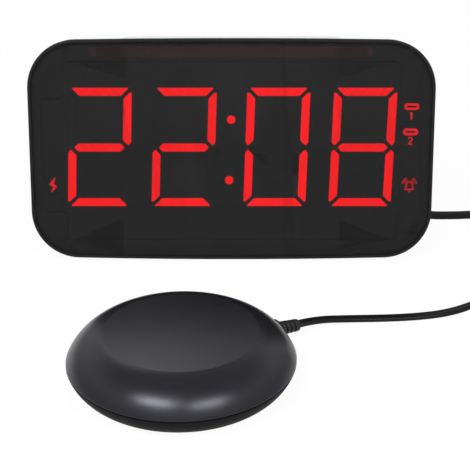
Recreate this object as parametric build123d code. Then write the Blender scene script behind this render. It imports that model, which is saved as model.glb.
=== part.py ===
# A bed shaker alarm clock: a leaning digital clock and the round vibrating puck on its cord.
# Millimetres. X runs to the viewer's right, Y away from the viewer and Z up. The origin is on the
# table, under the middle of the clock, its rear knob and the puck together.
from build123d import *
import math
import os

# The clock's face. It leans back, and its heights are measured along it from its lower edge.
face_width = 168.0
face_height = 92.4
face_corner = 20.0
face_top_bow = 0.8
face_bottom_bow = 1.3
face_lean = 12.8
base_gap = 2.0

# The front bezel, its lens and the window behind the lens
bezel_depth = 6.5
bezel_rim = 1.2
bezel_front_round = 0.4
bezel_back_round = 1.8
lens_thick = 2.0
lens_fit = 0.1
window_side_gap = 5.2
window_pad_width = 9.2
window_low = 8.0
window_top_gap = 9.4
window_low_gap = 6.4
window_high_gap = 7.4
window_round = 2.0
frame_fit = 0.15
strip_end_gap = 11.6
strip_height = 4.4
strip_top_gap = 5.5
strip_thick = 1.6

# The four digits, each a figure eight of seven segments, and the colon. The digits' places are
# shares of the window's half width, and the dots' places are shares of a digit's height.
digit_place_shares = (-0.79023, -0.2852, 0.27011, 0.78592)
digit_side_room = 34.4
digit_low_gap = 14.6
digit_high_gap = 10.7
digit_stroke = 3.45
digit_gap = 1.2
digit_lean_share = 0.033
corner_gap = 1.5
bar_blunt = 0.45
upright_blunt = 1.0
segment_tip_share = 0.35
shown_segments = ("abged", "abged", "abcdef", "abcdefg")
colon_shift = -0.52
colon_place_shares = (0.2344, -0.2767)
colon_radius = 1.8
diffuser_thick = 1.5
diffuser_fit = 0.05
well_taper = 3.0
led_length = 2.0
led_width = 1.2
led_height = 0.8

# Small lit signs beside the digits
sign_side_gap = 4.6
charge_width = 4.4
charge_height = 7.6
charge_place_share = 0.2456
port_sign_width = 7.4
port_sign_height = 8.6
port_sign_top_gap = 1.0
port_sign_pitch = 10.4
bell_side = 7.4
bell_place_share = 0.2393

# The casing behind the face
clock_depth = 42.0
case_height = 83.5
case_side_step = 2.0
case_corner = 16.0
case_back_round = 5.0
wall = 2.0
board_thick = 1.6
board_side_gap = 0.4
board_low_gap = 0.6

# Screws that hold the casing to the bezel
screw_side_gap = 10.0
screw_low_gap = 12.0
screw_high_gap = 11.5
screw_radius = 1.45
screw_fit = 0.05
screw_head_radius = 2.8
screw_head_thick = 2.2
screw_grip = 3.2
boss_radius = 4.2
boss_web = 6.0
head_well_gap = 0.3
slot_width = 0.7
slot_depth = 0.9

# The main board behind the rear wall, on four standoffs
main_right_share = 0.39286
main_low = 5.0
main_top_gap = 0.5
main_stand = 10.4
standoff_radius = 3.0
standoff_inset = 3.5
standoff_low_z = 21.5
board_screw_radius = 1.2
board_screw_head = 2.2
board_screw_head_thick = 1.3
board_screw_grip = 5.0

# Push buttons on the rear wall, and the tact switches that they press. Places across the rear wall
# are shares of the face's width.
button_names = ("time", "alarm_1", "alarm_2", "minus", "plus")
button_place_shares = (0.06548, 0.13095, 0.19643, 0.2619, 0.32738)
button_z = 51.0
button_radius = 3.5
button_fit = 0.25
button_proud = 1.6
button_round = 0.5
button_flange = 1.0
button_flange_thick = 1.0
button_stem_radius = 1.5
button_travel = 0.8
seat_gap = 0.1
press_gap = 0.15
tact_side = 6.0
tact_height = 3.5
tact_plunger_radius = 1.7
tact_plunger_height = 1.2

# Slide switches on the rear wall
slide_names = ("alarm_mode", "volume")
slide_place_shares = (0.08333, 0.20238)
slide_z = 35.0
slide_travel = 2.0
slide_cap_length = 4.0
slide_cap_height = 3.0
slide_cap_proud = 1.5
slide_slot_gap = 0.2
slide_cover_lap = 1.2
slide_cover_thick = 1.0
slide_body_length = 10.0
slide_body_width = 6.0
slide_body_height = 6.0
slide_rib_width = 0.5

# The dimmer knob and its potentiometer
dimmer_place_share = 0.32143
dimmer_z = 35.5
knob_radius = 7.5
knob_length = 7.0
knob_wall_gap = 0.5
knob_round = 0.8
knob_flutes = 16
flute_radius = 0.8
pointer_width = 1.0
pointer_depth = 0.5
shaft_radius = 3.0
shaft_hole_gap = 0.4
bushing_wall = 1.3
bushing_fit = 0.06
bushing_length = 3.0
pot_radius = 8.0
pot_height = 6.0

# Ports and jacks along the foot of the rear wall
port_z = 10.0
usb_place_shares = (0.06548, 0.16071)
usb_width = 13.2
usb_height = 6.0
usb_shell = 0.4
usb_gap = 0.3
usb_base = 2.4
port_recess = 0.4
tongue_width = 11.2
tongue_thick = 1.9
tongue_length = 8.0
dc_place_share = 0.24107
dc_side = 9.0
dc_nose_radius = 4.0
dc_bore_radius = 3.1
dc_bore_depth = 9.0
dc_pin_radius = 1.0
dc_pin_short = 1.0
jack_place_share = 0.31548
jack_side = 8.0
jack_nose_radius = 3.3
jack_body_height = 8.4
nose_gap = 0.2

# The loudspeaker and its grille
speaker_place_share = -0.22619
speaker_top_gap = 1.25
speaker_radius = 20.0
speaker_fit = 0.15
speaker_rim_thick = 1.6
speaker_cone_radius = 17.0
speaker_cone_depth = 6.0
magnet_radius = 10.0
magnet_depth = 5.0
speaker_ring_wall = 1.4
speaker_ring_height = 4.0
grille_slots = 7
grille_slot_width = 2.2
grille_pitch = 4.4
grille_edge = 2.6

# The snooze bar on top, and the two switches under it
snooze_length = 93.0
snooze_width = 9.0
snooze_round = 4.4
snooze_front_gap = 0.2
snooze_rise = 3.6
snooze_edge_round = 1.5
snooze_fit = 0.25
snooze_travel = 1.2
snooze_lip = 2.4
snooze_lip_thick = 1.5
snooze_lip_short = 0.6
snooze_switch_x = 24.0
snooze_board_length = 66.0
snooze_board_width = 9.0
snooze_rib = 3.0
snooze_rib_height = 5.0
snooze_rib_x = 32.0

# The backup coin cell under the casing, and its door
cell_place_share = -0.17857
cell_y = 25.0
cell_radius = 10.0
cell_thick = 3.2
cell_fit = 0.15
cell_lift = 0.4
holder_width = 36.0
holder_length = 22.8
holder_height = 5.6
contact_thick = 0.4
contact_width = 6.0
contact_length = 17.0
door_width = 30.0
door_lip = 1.5
door_lip_thick = 1.0
door_front_y = 15.9
door_fit = 0.1
door_groove_width = 0.8
door_groove_pitch = 1.6
door_groove_length = 14.0
door_groove_depth = 0.4
door_grooves = 3

# Rubber feet
foot_radius = 4.5
foot_sink = 0.5
foot_place_share = 0.34524
foot_front_y = 14.0
foot_back_gap = 1.0

# The puck. Its shells turn about its own upright axis.
puck_x = -17.1
puck_ahead = 92.6
puck_radius = 40.0
puck_seam_z = 9.5
puck_crease_inset = 13.0
puck_crease_drop = 0.5
puck_shoulder_inset = 3.6
puck_shoulder_drop = 5.4
puck_rim_land = 0.8
puck_under_inset = 8.5
puck_under_z = 0.8
puck_belly_inset = 3.0
puck_belly_rise = 3.5
puck_wall = 2.2
diagonal_share = 0.7
seam_width = 0.5
seam_depth = 0.7
seam_lip = 1.0
seam_lip_height = 1.6
lip_fit = 0.1
ring_inset = 13.4
ring_width = 3.6
ring_sink = 0.7

# Screws that close the puck, from below
puck_screw_inset = 10.5
puck_screw_angles = (100.0, 220.0, 340.0)
puck_boss_radius = 3.2
puck_screw_radius = 1.2
puck_screw_head = 2.3
puck_screw_head_thick = 1.2
puck_screw_grip = 5.0

# The motor in the puck, its clamp and its eccentric weight
motor_angle = 215.0
motor_radius = 7.5
motor_length = 22.0
motor_flat = 6.0
motor_shift_length = 4.0
motor_boss_radius = 3.0
motor_boss_length = 1.2
motor_shaft_radius = 1.0
motor_shaft_out = 13.0
motor_shaft_in = 1.0
shaft_fit = 0.05
weight_radius = 6.6
weight_length = 8.0
weight_hub_radius = 2.6
weight_gap = 2.0
cradle_length = 14.0
cradle_rise = 2.5
clamp_thick = 1.0
clamp_width = 8.0
clamp_ear = 6.0
clamp_fit = 0.1
clamp_top_gap = 0.2

# The strain relief on the puck and the flat twin cord. The cord's solids are eight-sided tubes.
relief_angle = 36.0
relief_dip = 11.5
relief_inset = 7.0
relief_flange_radius = 4.2
relief_flange_length = 1.2
relief_collar_radius = 3.1
relief_collar_length = 7.2
relief_seat_fit = 0.05
lead_radius = 0.6
lead_apart = 2.2
relief_rings = 3
relief_ring_radius = 2.25
relief_ring_length = 2.6
relief_neck_radius = 1.75
relief_neck_length = 0.9
relief_tip_radius = 1.95
relief_taper_share = 0.06
cord_radius = 1.3
cord_sides = 8
cord_rest = 1.4
relief_leave = 9.0
plug_leave = 9.0
coil_approach = 15.4
coil_leave = 12.0
arc_share = 0.45

# The coil of put-away cord: the number of half turns in a layer counts up, then a climb follows
coil_x = 148.0
coil_y = 27.2
coil_radius = 22.0
coil_pitch = 3.2
coil_layer_rise = 3.2
coil_half_turns = 6
coil_layers = 4
coil_lead = 2.6
coil_samples = 1200

# The right-angled plug in the shaker jack
plug_tip_radius = 1.75
plug_tip_fit = 0.05
plug_tip_length = 11.5
plug_side = 9.0
plug_thick = 8.0
plug_front_gap = 0.2
plug_reach = 5.0
plug_round = 1.6
plug_boot_length = 7.0
plug_boot_radius = 2.9
plug_boot_end = 1.9

# Places that follow from the sizes above. The motor's flat side lies on its cradle, and the puck's
# top clears the motor's clamp.
overrun = 1.0
lean = math.radians(face_lean)
clock_front = (puck_ahead + puck_radius - clock_depth - knob_wall_gap - knob_length) / 2
clock_back = clock_front + clock_depth
wall_back = clock_back - wall
puck_y = clock_front - puck_ahead
floor_top = base_gap + wall
case_top = base_gap + case_height
main_back = wall_back - main_stand
main_front = main_back - board_thick
jack_y = clock_back + plug_front_gap + plug_thick / 2
holder_back = clock_front + cell_y + holder_length / 2
door_front = clock_front + door_front_y
inward = Vector(0, math.cos(lean), -math.sin(lean))

# The window and the digits that fill it
window_half_wide = face_width / 2 - window_side_gap
window_half_narrow = window_half_wide - window_pad_width
window_high = face_height - window_top_gap
strip_length = 2 * (window_half_narrow - strip_end_gap)
strip_middle = face_height - strip_top_gap
digit_width = (2 * window_half_narrow - digit_side_room) / len(digit_place_shares)
digit_low = window_low + digit_low_gap
digit_height = window_high - digit_high_gap - digit_low
digit_middle = digit_low + digit_height / 2

# Places across the rear wall
screw_x = face_width / 2 - screw_side_gap
screw_low_z = base_gap + screw_low_gap
screw_high_z = case_top - screw_high_gap
main_right = main_right_share * face_width
button_x = [share * face_width for share in button_place_shares]
slide_x = [share * face_width for share in slide_place_shares]
usb_x = [share * face_width for share in usb_place_shares]
dimmer_x = dimmer_place_share * face_width
dc_x = dc_place_share * face_width
jack_x = jack_place_share * face_width
speaker_x = speaker_place_share * face_width
cell_x = cell_place_share * face_width
foot_x = foot_place_share * face_width

# The puck's heights and rings
motor_height = puck_under_z + puck_wall + cradle_rise + motor_flat
puck_top_z = motor_height + motor_flat + clamp_fit + clamp_thick + clamp_top_gap + puck_wall
ring_outer = puck_radius - ring_inset
ring_inner = ring_outer - ring_width

# The cord's free stretches, each a list of points chosen by hand: across, away from the clock's
# front edge, and up. The points beside the strain relief, the coil and the plug are in line with them.
front_route = (
    (45.5, -51.3, 1.6),
    (58.5, -50.2, 1.4),
    (71.5, -49.0, 1.4),
    (83.5, -46.2, 1.4),
    (94.5, -38.9, 1.4),
    (106.0, -27.5, 1.4),
    (118.5, -12.0, 1.4),
)
rear_route = (
    (118.0, 46.3, 1.4),
    (102.5, 45.7, 1.4),
    (87.0, 46.0, 1.4),
)


def face_plane(depth):
    """The face's own plane, that far inside the casing, with its normal toward the viewer."""
    return Plane(
        origin=(0, clock_front + depth * math.cos(lean), base_gap - depth * math.sin(lean)),
        x_dir=(1, 0, 0),
        z_dir=-inward,
    )


def slab(outline, near, far, taper=0):
    """An outline drawn on the face, made solid from one depth behind the face to another."""
    return extrude(face_plane(near) * outline, amount=far - near, dir=inward, taper=taper)


def leaning_y(z, depth):
    """Where the plane at that depth behind the face stands at a height above the table."""
    return clock_front + (z - base_gap) * math.tan(lean) + depth / math.cos(lean)


def up_the_face(z, depth):
    """The height along the face of a point at height z above the table, at that depth."""
    return (z - base_gap + depth * math.sin(lean)) / math.cos(lean)


def snooze_place():
    """The snooze bar's middle: close behind the top of the leaning display board."""
    front = leaning_y(case_top - wall, bezel_depth + board_thick) + snooze_front_gap
    return front + snooze_width / 2


def cylinder(radius, length):
    """A round rod that starts at the origin and runs along Z."""
    return Cylinder(radius, length, align=(Align.CENTER, Align.CENTER, Align.MIN))


def cone(start_radius, end_radius, length):
    """A tapered round rod that starts at the origin and runs along Z."""
    return Cone(start_radius, end_radius, length, align=(Align.CENTER, Align.CENTER, Align.MIN))


def upright_plane(x, y, z):
    """A plane through a point whose normal runs back along Y."""
    return Plane(origin=(x, y, z), x_dir=(1, 0, 0), z_dir=(0, 1, 0))


def block(x0, x1, y0, y1, z0, z1):
    return Pos(x0, y0, z0) * Box(x1 - x0, y1 - y0, z1 - z0, align=(Align.MIN, Align.MIN, Align.MIN))


def block_at(x, z, width, height, y0, y1):
    """A block that runs along Y, centred across and up."""
    return block(x - width / 2, x + width / 2, y0, y1, z - height / 2, z + height / 2)


def rod(x, z, y0, y1, radius):
    """A round rod that runs along Y."""
    return upright_plane(x, y0, z) * cylinder(radius, y1 - y0)


def post(x, y, z0, z1, radius):
    """A round rod that stands up."""
    return Pos(x, y, z0) * cylinder(radius, z1 - z0)


def behind(shape, depth):
    """What is left of a shape behind the plane at that depth."""
    return split(shape, bisect_by=face_plane(depth), keep=Keep.BOTTOM)


def bowed_panel(inset):
    """The face's outline: upright sides, bowed top and bottom edges and round corners."""
    half = face_width / 2 - inset
    low = inset
    high = face_height - inset
    side_low = low + face_bottom_bow
    side_high = high - face_top_bow
    edges = [
        Line((half, side_low), (half, side_high)),
        ThreePointArc((half, side_high), (0, high), (-half, side_high)),
        Line((-half, side_high), (-half, side_low)),
        ThreePointArc((-half, side_low), (0, low), (half, side_low)),
    ]
    outline = make_face(edges)
    return fillet(outline.vertices(), face_corner - inset)


def window_side_low():
    """Where the window widens, above the lower screws."""
    return up_the_face(screw_low_z, bezel_depth) + window_low_gap


def window_side_high():
    """Where the window narrows again, below the upper screws."""
    return up_the_face(screw_high_z, bezel_depth) - window_high_gap


def window_outline(clearance):
    """The window behind the lens, with a solid pad left at each corner for a screw."""
    low = window_low + clearance
    high = window_high - clearance
    side_low = window_side_low() + clearance
    side_high = window_side_high() - clearance
    narrow = window_half_narrow - clearance
    wide = window_half_wide - clearance
    outline = Pos(0, (low + high) / 2) * Rectangle(2 * narrow, high - low)
    outline += Pos(0, (side_low + side_high) / 2) * Rectangle(2 * wide, side_high - side_low)
    return fillet(outline.vertices(), window_round)


def strip_outline():
    return Pos(0, strip_middle) * SlotOverall(strip_length, strip_height)


def case_screws_at():
    return [(x, z) for x in (-screw_x, screw_x) for z in (screw_low_z, screw_high_z)]


# Front of the clock


def front_bezel():
    """The rim round the lens, the ledge that carries it and the window, seen from in front."""
    plate = slab(bowed_panel(0), 0, bezel_depth)
    along = Axis((0, 0, 0), inward)
    plate = fillet(plate.faces().sort_by(along)[-1].edges(), bezel_back_round)
    plate = fillet(plate.faces().sort_by(along)[0].edges(), bezel_front_round)
    plate -= slab(bowed_panel(bezel_rim), 0, lens_thick)
    plate -= slab(window_outline(0), 0, bezel_depth + overrun)
    plate -= slab(strip_outline(), 0, lens_thick + strip_thick)
    for x, z in case_screws_at():
        back = leaning_y(z, bezel_depth)
        plate -= rod(x, z, back - screw_grip - screw_fit, back + overrun, screw_radius + screw_fit)
    return plate


def display_lens():
    return slab(bowed_panel(bezel_rim + lens_fit), 0, lens_thick)


def light_strip():
    strip = Pos(0, strip_middle) * SlotOverall(strip_length - lens_fit, strip_height - lens_fit)
    return slab(strip, lens_thick, lens_thick + strip_thick)


def segment_points(name):
    """The corners of one segment about the digit's middle. Letters run clockwise from the top bar,
    a to f, and g is the middle bar. Mitres run at 45 degrees, half a gap off the corner, and the
    tips at the digit's corners are cut blunt."""
    half = digit_width / 2
    tall = digit_height / 2
    s = digit_stroke
    e = digit_gap / math.sqrt(2)
    c = corner_gap / math.sqrt(2)
    tip = segment_tip_share * s
    if name == "a":
        end = half - c - bar_blunt
        right = [(end, tall), (end, tall - bar_blunt), (half - c - s, tall - s)]
        return right + [(-x, y) for x, y in reversed(right)]
    if name == "g":
        mid = s / 2
        inner = half - mid - e
        upper = [(-inner, 0), (mid - inner, mid), (inner - mid, mid)]
        return upper + [(-x, -y) for x, y in upper]
    if name == "b":
        end = tall - c - upright_blunt
        top = [(half, end), (half - upright_blunt, end), (half - s, tall - s - c)]
        return top + [(half - s, e + s - tip), (half - tip, e), (half, e + tip)]
    flips = {"f": ("b", -1, 1), "c": ("b", 1, -1), "e": ("b", -1, -1), "d": ("a", 1, -1)}
    like, across, up = flips[name]
    return [(x * across, y * up) for x, y in segment_points(like)]


def segment(name, place):
    """One segment of the digit at that place, leaning a little to the right."""
    corners = [(place + x + digit_lean_share * y, digit_middle + y) for x, y in segment_points(name)]
    return make_face(Polyline(*corners, close=True))


def digit_faces(lit):
    """The segments that are lit, or those that aren't."""
    found = []
    for share, shown in zip(digit_place_shares, shown_segments):
        place = share * window_half_narrow
        found += [segment(name, place) for name in "abcdefg" if (name in shown) == lit]
    return found


def colon_places():
    """The two dots between the hours and the minutes, on the digits' lean."""
    ups = [share * digit_height for share in colon_place_shares]
    return [(colon_shift + digit_lean_share * up, digit_middle + up) for up in ups]


def colon_faces():
    return [Pos(u, h) * Circle(colon_radius) for u, h in colon_places()]


def sign_places():
    """Each sign's middle across and up the face, its width and its height."""
    side = window_half_wide - sign_side_gap
    low, high = window_side_low(), window_side_high()
    port_1 = high - port_sign_top_gap - port_sign_height / 2
    charge = low + charge_place_share * (high - low)
    bell = low + bell_place_share * (high - low)
    return (
        (-side, charge, charge_width, charge_height),
        (side, port_1, port_sign_width, port_sign_height),
        (side, port_1 - port_sign_pitch, port_sign_width, port_sign_height),
        (side, bell, bell_side, bell_side),
    )


def sign_faces(clearance):
    """The small tiles that the lit signs are cut in, each a plain rounded rectangle."""
    tiles = []
    for u, h, width, height in sign_places():
        tile = RectangleRounded(width - clearance, height - clearance, window_round / 2)
        tiles.append(Pos(u, h) * tile)
    return tiles


def display_frame():
    """The black frame with one light well for each segment, dot and sign. A segment's well
    narrows toward the board, so that it throws its light forward."""
    frame = slab(window_outline(frame_fit), lens_thick, bezel_depth)
    segments = digit_faces(True) + digit_faces(False)
    wells = [slab(face, lens_thick, bezel_depth, well_taper) for face in segments]
    wells += [slab(face, lens_thick, bezel_depth) for face in colon_faces() + sign_faces(0)]
    return frame - wells


def diffusers(faces):
    """The plates that fill the mouths of the wells. They have the wells' own taper."""
    inset = [offset(face, -diffuser_fit, kind=Kind.INTERSECTION) for face in faces]
    return [slab(face, lens_thick, lens_thick + diffuser_thick, well_taper) for face in inset]


def lit_segments():
    back = lens_thick + diffuser_thick
    dots = [slab(offset(face, -diffuser_fit), lens_thick, back) for face in colon_faces()]
    return diffusers(digit_faces(True)) + dots


def unlit_segments():
    return diffusers(digit_faces(False))


def sign_diffusers():
    back = lens_thick + diffuser_thick
    return [slab(face, lens_thick, back) for face in sign_faces(2 * diffuser_fit)]


def display_leds():
    """One light-emitting chip on the board at the foot of each well."""
    middles = [face.center() for face in digit_faces(True) + digit_faces(False)]
    places = [(m.X, m.Y) for m in middles] + colon_places()
    places += [(u, h) for u, h, _, _ in sign_places()]
    chip = Rectangle(led_width, led_length)
    return [slab(Pos(u, h) * chip, bezel_depth - led_height, bezel_depth) for u, h in places]


def display_board():
    """The board that closes the back of the window and seats on the bezel's ledge."""
    half = face_width / 2 - case_side_step - wall - board_side_gap
    low = up_the_face(floor_top, bezel_depth) + board_low_gap
    high = up_the_face(case_top - wall, bezel_depth + board_thick) - board_low_gap
    outline = Pos(0, (low + high) / 2) * RectangleRounded(2 * half, high - low, case_corner - wall)
    board = slab(outline, bezel_depth, bezel_depth + board_thick)
    for x, z in case_screws_at():
        board -= rod(x, z, clock_front, clock_back, screw_radius + screw_fit)
    return board


# The casing behind the face


def casing_body(inset):
    """The casing as a full block, smaller by the inset all round, with its back edges rounded."""
    width = face_width - 2 * case_side_step - 2 * inset
    height = case_height - 2 * inset
    front = upright_plane(0, clock_front, base_gap + case_height / 2)
    outline = front * RectangleRounded(width, height, case_corner - inset)
    body = extrude(outline, amount=clock_depth - inset)
    rear = body.faces().sort_by(Axis.Y)[-1]
    return fillet(rear.edges(), case_back_round - inset)


def door_channel(clearance):
    """The T-shaped channel of the battery door, or with a negative clearance the door itself."""
    half = door_width / 2 + clearance
    narrow = half - door_lip
    front = door_front - clearance
    back = clock_back + overrun
    step = floor_top - wall + door_lip_thick - clearance
    upper = block(cell_x - half, cell_x + half, front, back, step, floor_top)
    return upper + block(cell_x - narrow, cell_x + narrow, front, back, 0, step)


def screw_boss(x, z):
    """A post from the rear wall to the display board."""
    return behind(rod(x, z, clock_front, clock_back - wall / 2, boss_radius), bezel_depth + board_thick)


def screw_hole(x, z):
    """The screw's way through its post: a wide well for the head, then a close hole."""
    seat = leaning_y(z, bezel_depth + board_thick) + boss_web
    well = rod(x, z, seat, clock_back + overrun, screw_head_radius + head_well_gap)
    return well + rod(x, z, clock_front, clock_back, screw_radius + screw_fit)


def main_high():
    """The main board's upper edge, just under the ribs of the snooze switches' board."""
    return snooze_board_low() - snooze_rib_height - main_top_gap


def standoffs_at():
    xs = (standoff_inset, main_right - standoff_inset)
    zs = (standoff_low_z, main_high() - standoff_inset)
    return [(x, z) for x in xs for z in zs]


def speaker_z():
    """The loudspeaker's middle, as high as the ribs above it allow."""
    return snooze_board_low() - snooze_rib_height - speaker_top_gap - speaker_radius


def grille():
    """Slots across the loudspeaker, each as long as the cone is wide at its height."""
    reach = speaker_cone_radius - grille_edge / 2
    cuts = []
    for k in range(grille_slots):
        up = (k - (grille_slots - 1) / 2) * grille_pitch
        length = 2 * math.sqrt(reach ** 2 - up ** 2)
        place = upright_plane(speaker_x, wall_back - overrun, speaker_z() + up)
        slot = place * SlotOverall(length, grille_slot_width)
        cuts.append(extrude(slot, amount=wall + 2 * overrun))
    return cuts


def snooze_outline(clearance):
    length = snooze_length + 2 * clearance
    width = snooze_width + 2 * clearance
    return Pos(0, snooze_place()) * RectangleRounded(length, width, snooze_round + clearance)


def snooze_ribs():
    """Two ribs from the rear wall that carry the snooze switches' board."""
    front = snooze_place() - snooze_board_width / 2
    back = wall_back + wall / 2
    high = snooze_board_low()
    ribs = []
    for x in (-snooze_rib_x, snooze_rib_x):
        half = snooze_rib / 2
        ribs.append(block(x - half, x + half, front, back, high - snooze_rib_height, high))
    return ribs


def rear_openings():
    """Everything that is cut through the rear wall."""
    through = (wall_back - overrun, clock_back + overrun)
    cuts = [rod(x, button_z, *through, button_radius + button_fit) for x in button_x]
    slot = slide_cap_length + 2 * slide_travel + 2 * slide_slot_gap
    tall = slide_cap_height + 2 * slide_slot_gap
    cuts += [block_at(x, slide_z, slot, tall, *through) for x in slide_x]
    cuts.append(rod(dimmer_x, dimmer_z, *through, shaft_radius + shaft_hole_gap))
    wide = usb_width + 2 * usb_gap
    high = usb_height + 2 * usb_gap
    cuts += [block_at(x, port_z, wide, high, *through) for x in usb_x]
    cuts.append(rod(dc_x, port_z, *through, dc_nose_radius + nose_gap))
    cuts.append(rod(jack_x, port_z, *through, jack_nose_radius + nose_gap))
    return cuts


def speaker_ring():
    """The wall round the loudspeaker's rim."""
    inner = speaker_radius + speaker_fit
    front = wall_back - speaker_ring_height
    ring = rod(speaker_x, speaker_z(), front, wall_back, inner + speaker_ring_wall)
    return ring - rod(speaker_x, speaker_z(), front, wall_back, inner)


def rear_shell():
    """The hollow casing with its posts, cut-outs, grille, foot seats and door channel."""
    shell = behind(casing_body(0) - casing_body(wall), bezel_depth)
    shell += speaker_ring()
    for x, z in case_screws_at():
        shell += screw_boss(x, z)
    for x, z in standoffs_at():
        shell += rod(x, z, main_back, wall_back + wall / 2, standoff_radius)
    shell += snooze_ribs()
    for x, z in case_screws_at():
        shell -= screw_hole(x, z)
    for x, z in standoffs_at():
        shell -= rod(x, z, main_front, main_back + board_screw_grip, board_screw_radius + screw_fit)
    shell -= rear_openings()
    shell -= grille()
    mouth = Pos(0, 0, case_top - wall - overrun) * snooze_outline(snooze_fit)
    shell -= extrude(mouth, amount=wall + 2 * overrun)
    for x, y in feet_at():
        shell -= post(x, y, 0, base_gap + foot_sink, foot_radius)
    return shell - door_channel(0)


def feet_at():
    back = clock_back - case_back_round - foot_back_gap - foot_radius
    return [(x, y) for x in (-foot_x, foot_x) for y in (clock_front + foot_front_y, back)]


def rubber_feet():
    return [post(x, y, 0, base_gap + foot_sink, foot_radius) for x, y in feet_at()]


def case_screws():
    """Four slotted screws, from the rear, through the posts and the board into the bezel."""
    made = []
    for x, z in case_screws_at():
        seat = leaning_y(z, bezel_depth + board_thick) + boss_web
        tip = leaning_y(z, bezel_depth) - screw_grip
        top = seat + screw_head_thick
        screw = rod(x, z, tip, seat, screw_radius) + rod(x, z, seat, top, screw_head_radius)
        slot = block_at(x, z, 2 * screw_head_radius, slot_width, top - slot_depth, top)
        made.append(screw - slot)
    return made


# The main board and what it carries


def main_board():
    board = block(0, main_right, main_front, main_back, main_low, main_high())
    for x, z in standoffs_at():
        board -= rod(x, z, main_front - overrun, main_back + overrun, board_screw_radius + screw_fit)
    return board


def board_screws():
    made = []
    for x, z in standoffs_at():
        tip = main_back + board_screw_grip - screw_fit
        head = rod(x, z, main_front - board_screw_head_thick, main_front, board_screw_head)
        made.append(head + rod(x, z, main_front, tip, board_screw_radius))
    return made


def tact_switch_on_board(x, z):
    body = block_at(x, z, tact_side, tact_side, main_back, main_back + tact_height)
    top = main_back + tact_height
    return body + rod(x, z, top, top + tact_plunger_height, tact_plunger_radius)


def tact_switches():
    return [tact_switch_on_board(x, button_z) for x in button_x]


def push_button(x):
    """A round cap with a flange inside the wall and a stem that stops just off its switch."""
    flange_back = wall_back - seat_gap
    flange_front = flange_back - button_flange_thick
    stem_end = main_back + tact_height + tact_plunger_height + button_travel + press_gap
    cap = rod(x, button_z, flange_front, clock_back + button_proud, button_radius)
    cap = fillet(cap.faces().sort_by(Axis.Y)[-1].edges(), button_round)
    cap += rod(x, button_z, flange_front, flange_back, button_radius + button_flange)
    return cap + rod(x, button_z, stem_end, flange_front, button_stem_radius)


def slide_switches():
    """The bodies of the two slide switches on the board."""
    top = main_back + slide_body_height
    return [block_at(x, slide_z, slide_body_length, slide_body_width, main_back, top) for x in slide_x]


def slide_knob(x):
    """A small cap in its slot, with a cover behind the wall that hides the slot at both ends."""
    cover_back = wall_back - seat_gap
    cover = slide_cap_length + 4 * slide_travel + 2 * slide_slot_gap + 2 * slide_cover_lap
    tall = slide_cap_height + 2 * slide_slot_gap + 2 * slide_cover_lap
    foot = main_back + slide_body_height + press_gap
    knob = block_at(x, slide_z, slide_cap_length, slide_cap_height, foot, clock_back + slide_cap_proud)
    knob += block_at(x, slide_z, cover, tall, cover_back - slide_cover_thick, cover_back)
    top = clock_back + slide_cap_proud
    for k in (-1, 0, 1):
        at = x + k * slide_cap_length / 3
        knob -= block_at(at, slide_z, slide_rib_width, slide_cap_height, top - slide_rib_width, top)
    return knob


def dimmer_potentiometer():
    """The potentiometer's can and the bushing that its shaft turns in."""
    top = main_back + pot_height
    pot = rod(dimmer_x, dimmer_z, main_back, top, pot_radius)
    pot += rod(dimmer_x, dimmer_z, top, top + bushing_length, shaft_radius + bushing_wall)
    return pot - rod(dimmer_x, dimmer_z, top, top + bushing_length, shaft_radius + bushing_fit)


def dimmer_knob():
    """A fluted knob with a pointer groove, on its shaft."""
    near = clock_back + knob_wall_gap
    far = near + knob_length
    knob = rod(dimmer_x, dimmer_z, near, far, knob_radius)
    knob = fillet(knob.faces().sort_by(Axis.Y)[-1].edges(), knob_round)
    for k in range(knob_flutes):
        turn = 2 * math.pi * (k + 1 / 2) / knob_flutes
        x = dimmer_x + (knob_radius + flute_radius / 3) * math.cos(turn)
        z = dimmer_z + (knob_radius + flute_radius / 3) * math.sin(turn)
        knob -= rod(x, z, near - overrun, far + overrun, flute_radius)
    mark = dimmer_z + knob_radius / 2
    knob -= block_at(dimmer_x, mark, pointer_width, knob_radius, far - pointer_depth, far + overrun)
    return knob + rod(dimmer_x, dimmer_z, main_back + pot_height + press_gap, near, shaft_radius)


def usb_port(x):
    """The socket's folded metal sleeve on its base."""
    mouth = clock_back - port_recess
    sleeve = block_at(x, port_z, usb_width, usb_height, main_back, mouth)
    inside_width = usb_width - 2 * usb_shell
    inside_height = usb_height - 2 * usb_shell
    return sleeve - block_at(x, port_z, inside_width, inside_height, main_back + usb_base, mouth + overrun)


def usb_tongues():
    """The insulating tongues in the two sockets, toward the upper side."""
    low = main_back + usb_base
    up = usb_height / 4
    return [block_at(x, port_z + up, tongue_width, tongue_thick, low, low + tongue_length) for x in usb_x]


def dc_jack():
    """The power inlet: a square body with a round nose and a bore."""
    shoulder = main_back + jack_body_height
    mouth = clock_back - port_recess
    body = block_at(dc_x, port_z, dc_side, dc_side, main_back, shoulder)
    body += rod(dc_x, port_z, shoulder, mouth, dc_nose_radius)
    return body - rod(dc_x, port_z, mouth - dc_bore_depth, mouth + overrun, dc_bore_radius)


def dc_jack_pin():
    mouth = clock_back - port_recess
    return rod(dc_x, port_z, mouth - dc_bore_depth, mouth - dc_pin_short, dc_pin_radius)


def shaker_jack():
    """The jack that the puck's plug goes in."""
    shoulder = main_back + jack_body_height
    body = block_at(jack_x, port_z, jack_side, jack_side, main_back, shoulder)
    body += rod(jack_x, port_z, shoulder, clock_back, jack_nose_radius)
    bore = plug_tip_radius + plug_tip_fit
    return body - rod(jack_x, port_z, plug_tip_end() - press_gap, clock_back + overrun, bore)


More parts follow.
